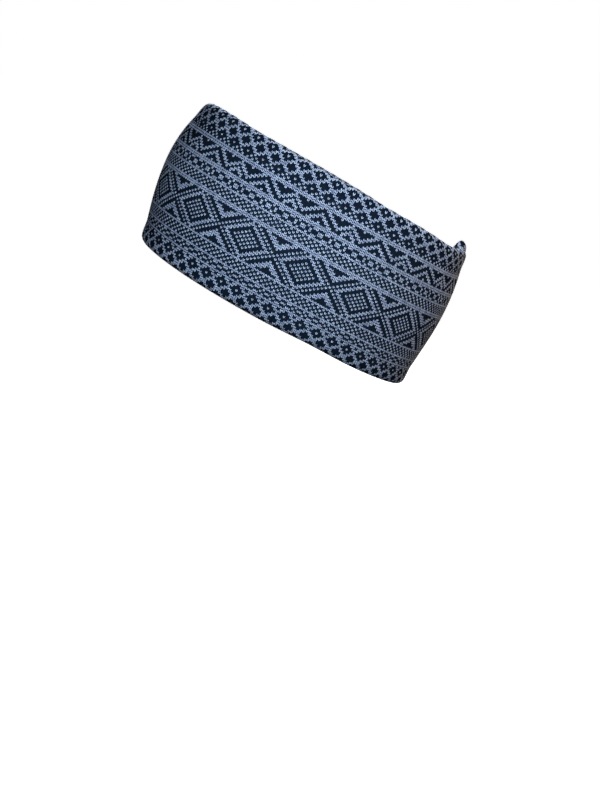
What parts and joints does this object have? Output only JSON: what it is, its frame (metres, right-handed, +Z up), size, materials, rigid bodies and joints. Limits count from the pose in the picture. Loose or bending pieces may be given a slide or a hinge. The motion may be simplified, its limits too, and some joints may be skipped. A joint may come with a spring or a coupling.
{
  "type": "knitted ear warmer headband",
  "caption": "Folded double-layer knitted headband, worn tilted over the ears, open through the middle, with rounded folded rims",
  "frame": {"origin": "the middle of the hollow that the head fills, on the ear-to-ear axis", "axes": "+Z up with the head upright, the wearer faces -Y, the wearer's left is +X, and the band is tipped about X with its forehead side up"},
  "size_m": [0.1598, 0.2079, 0.1796],
  "materials": {
    "navy_wool": "matte wool yarn, knitted",
    "blue_wool": "matte wool yarn, knitted"
  },
  "bodies": {
    "root": {"knit_band": "navy_wool"}
  },
  "joints": []
}
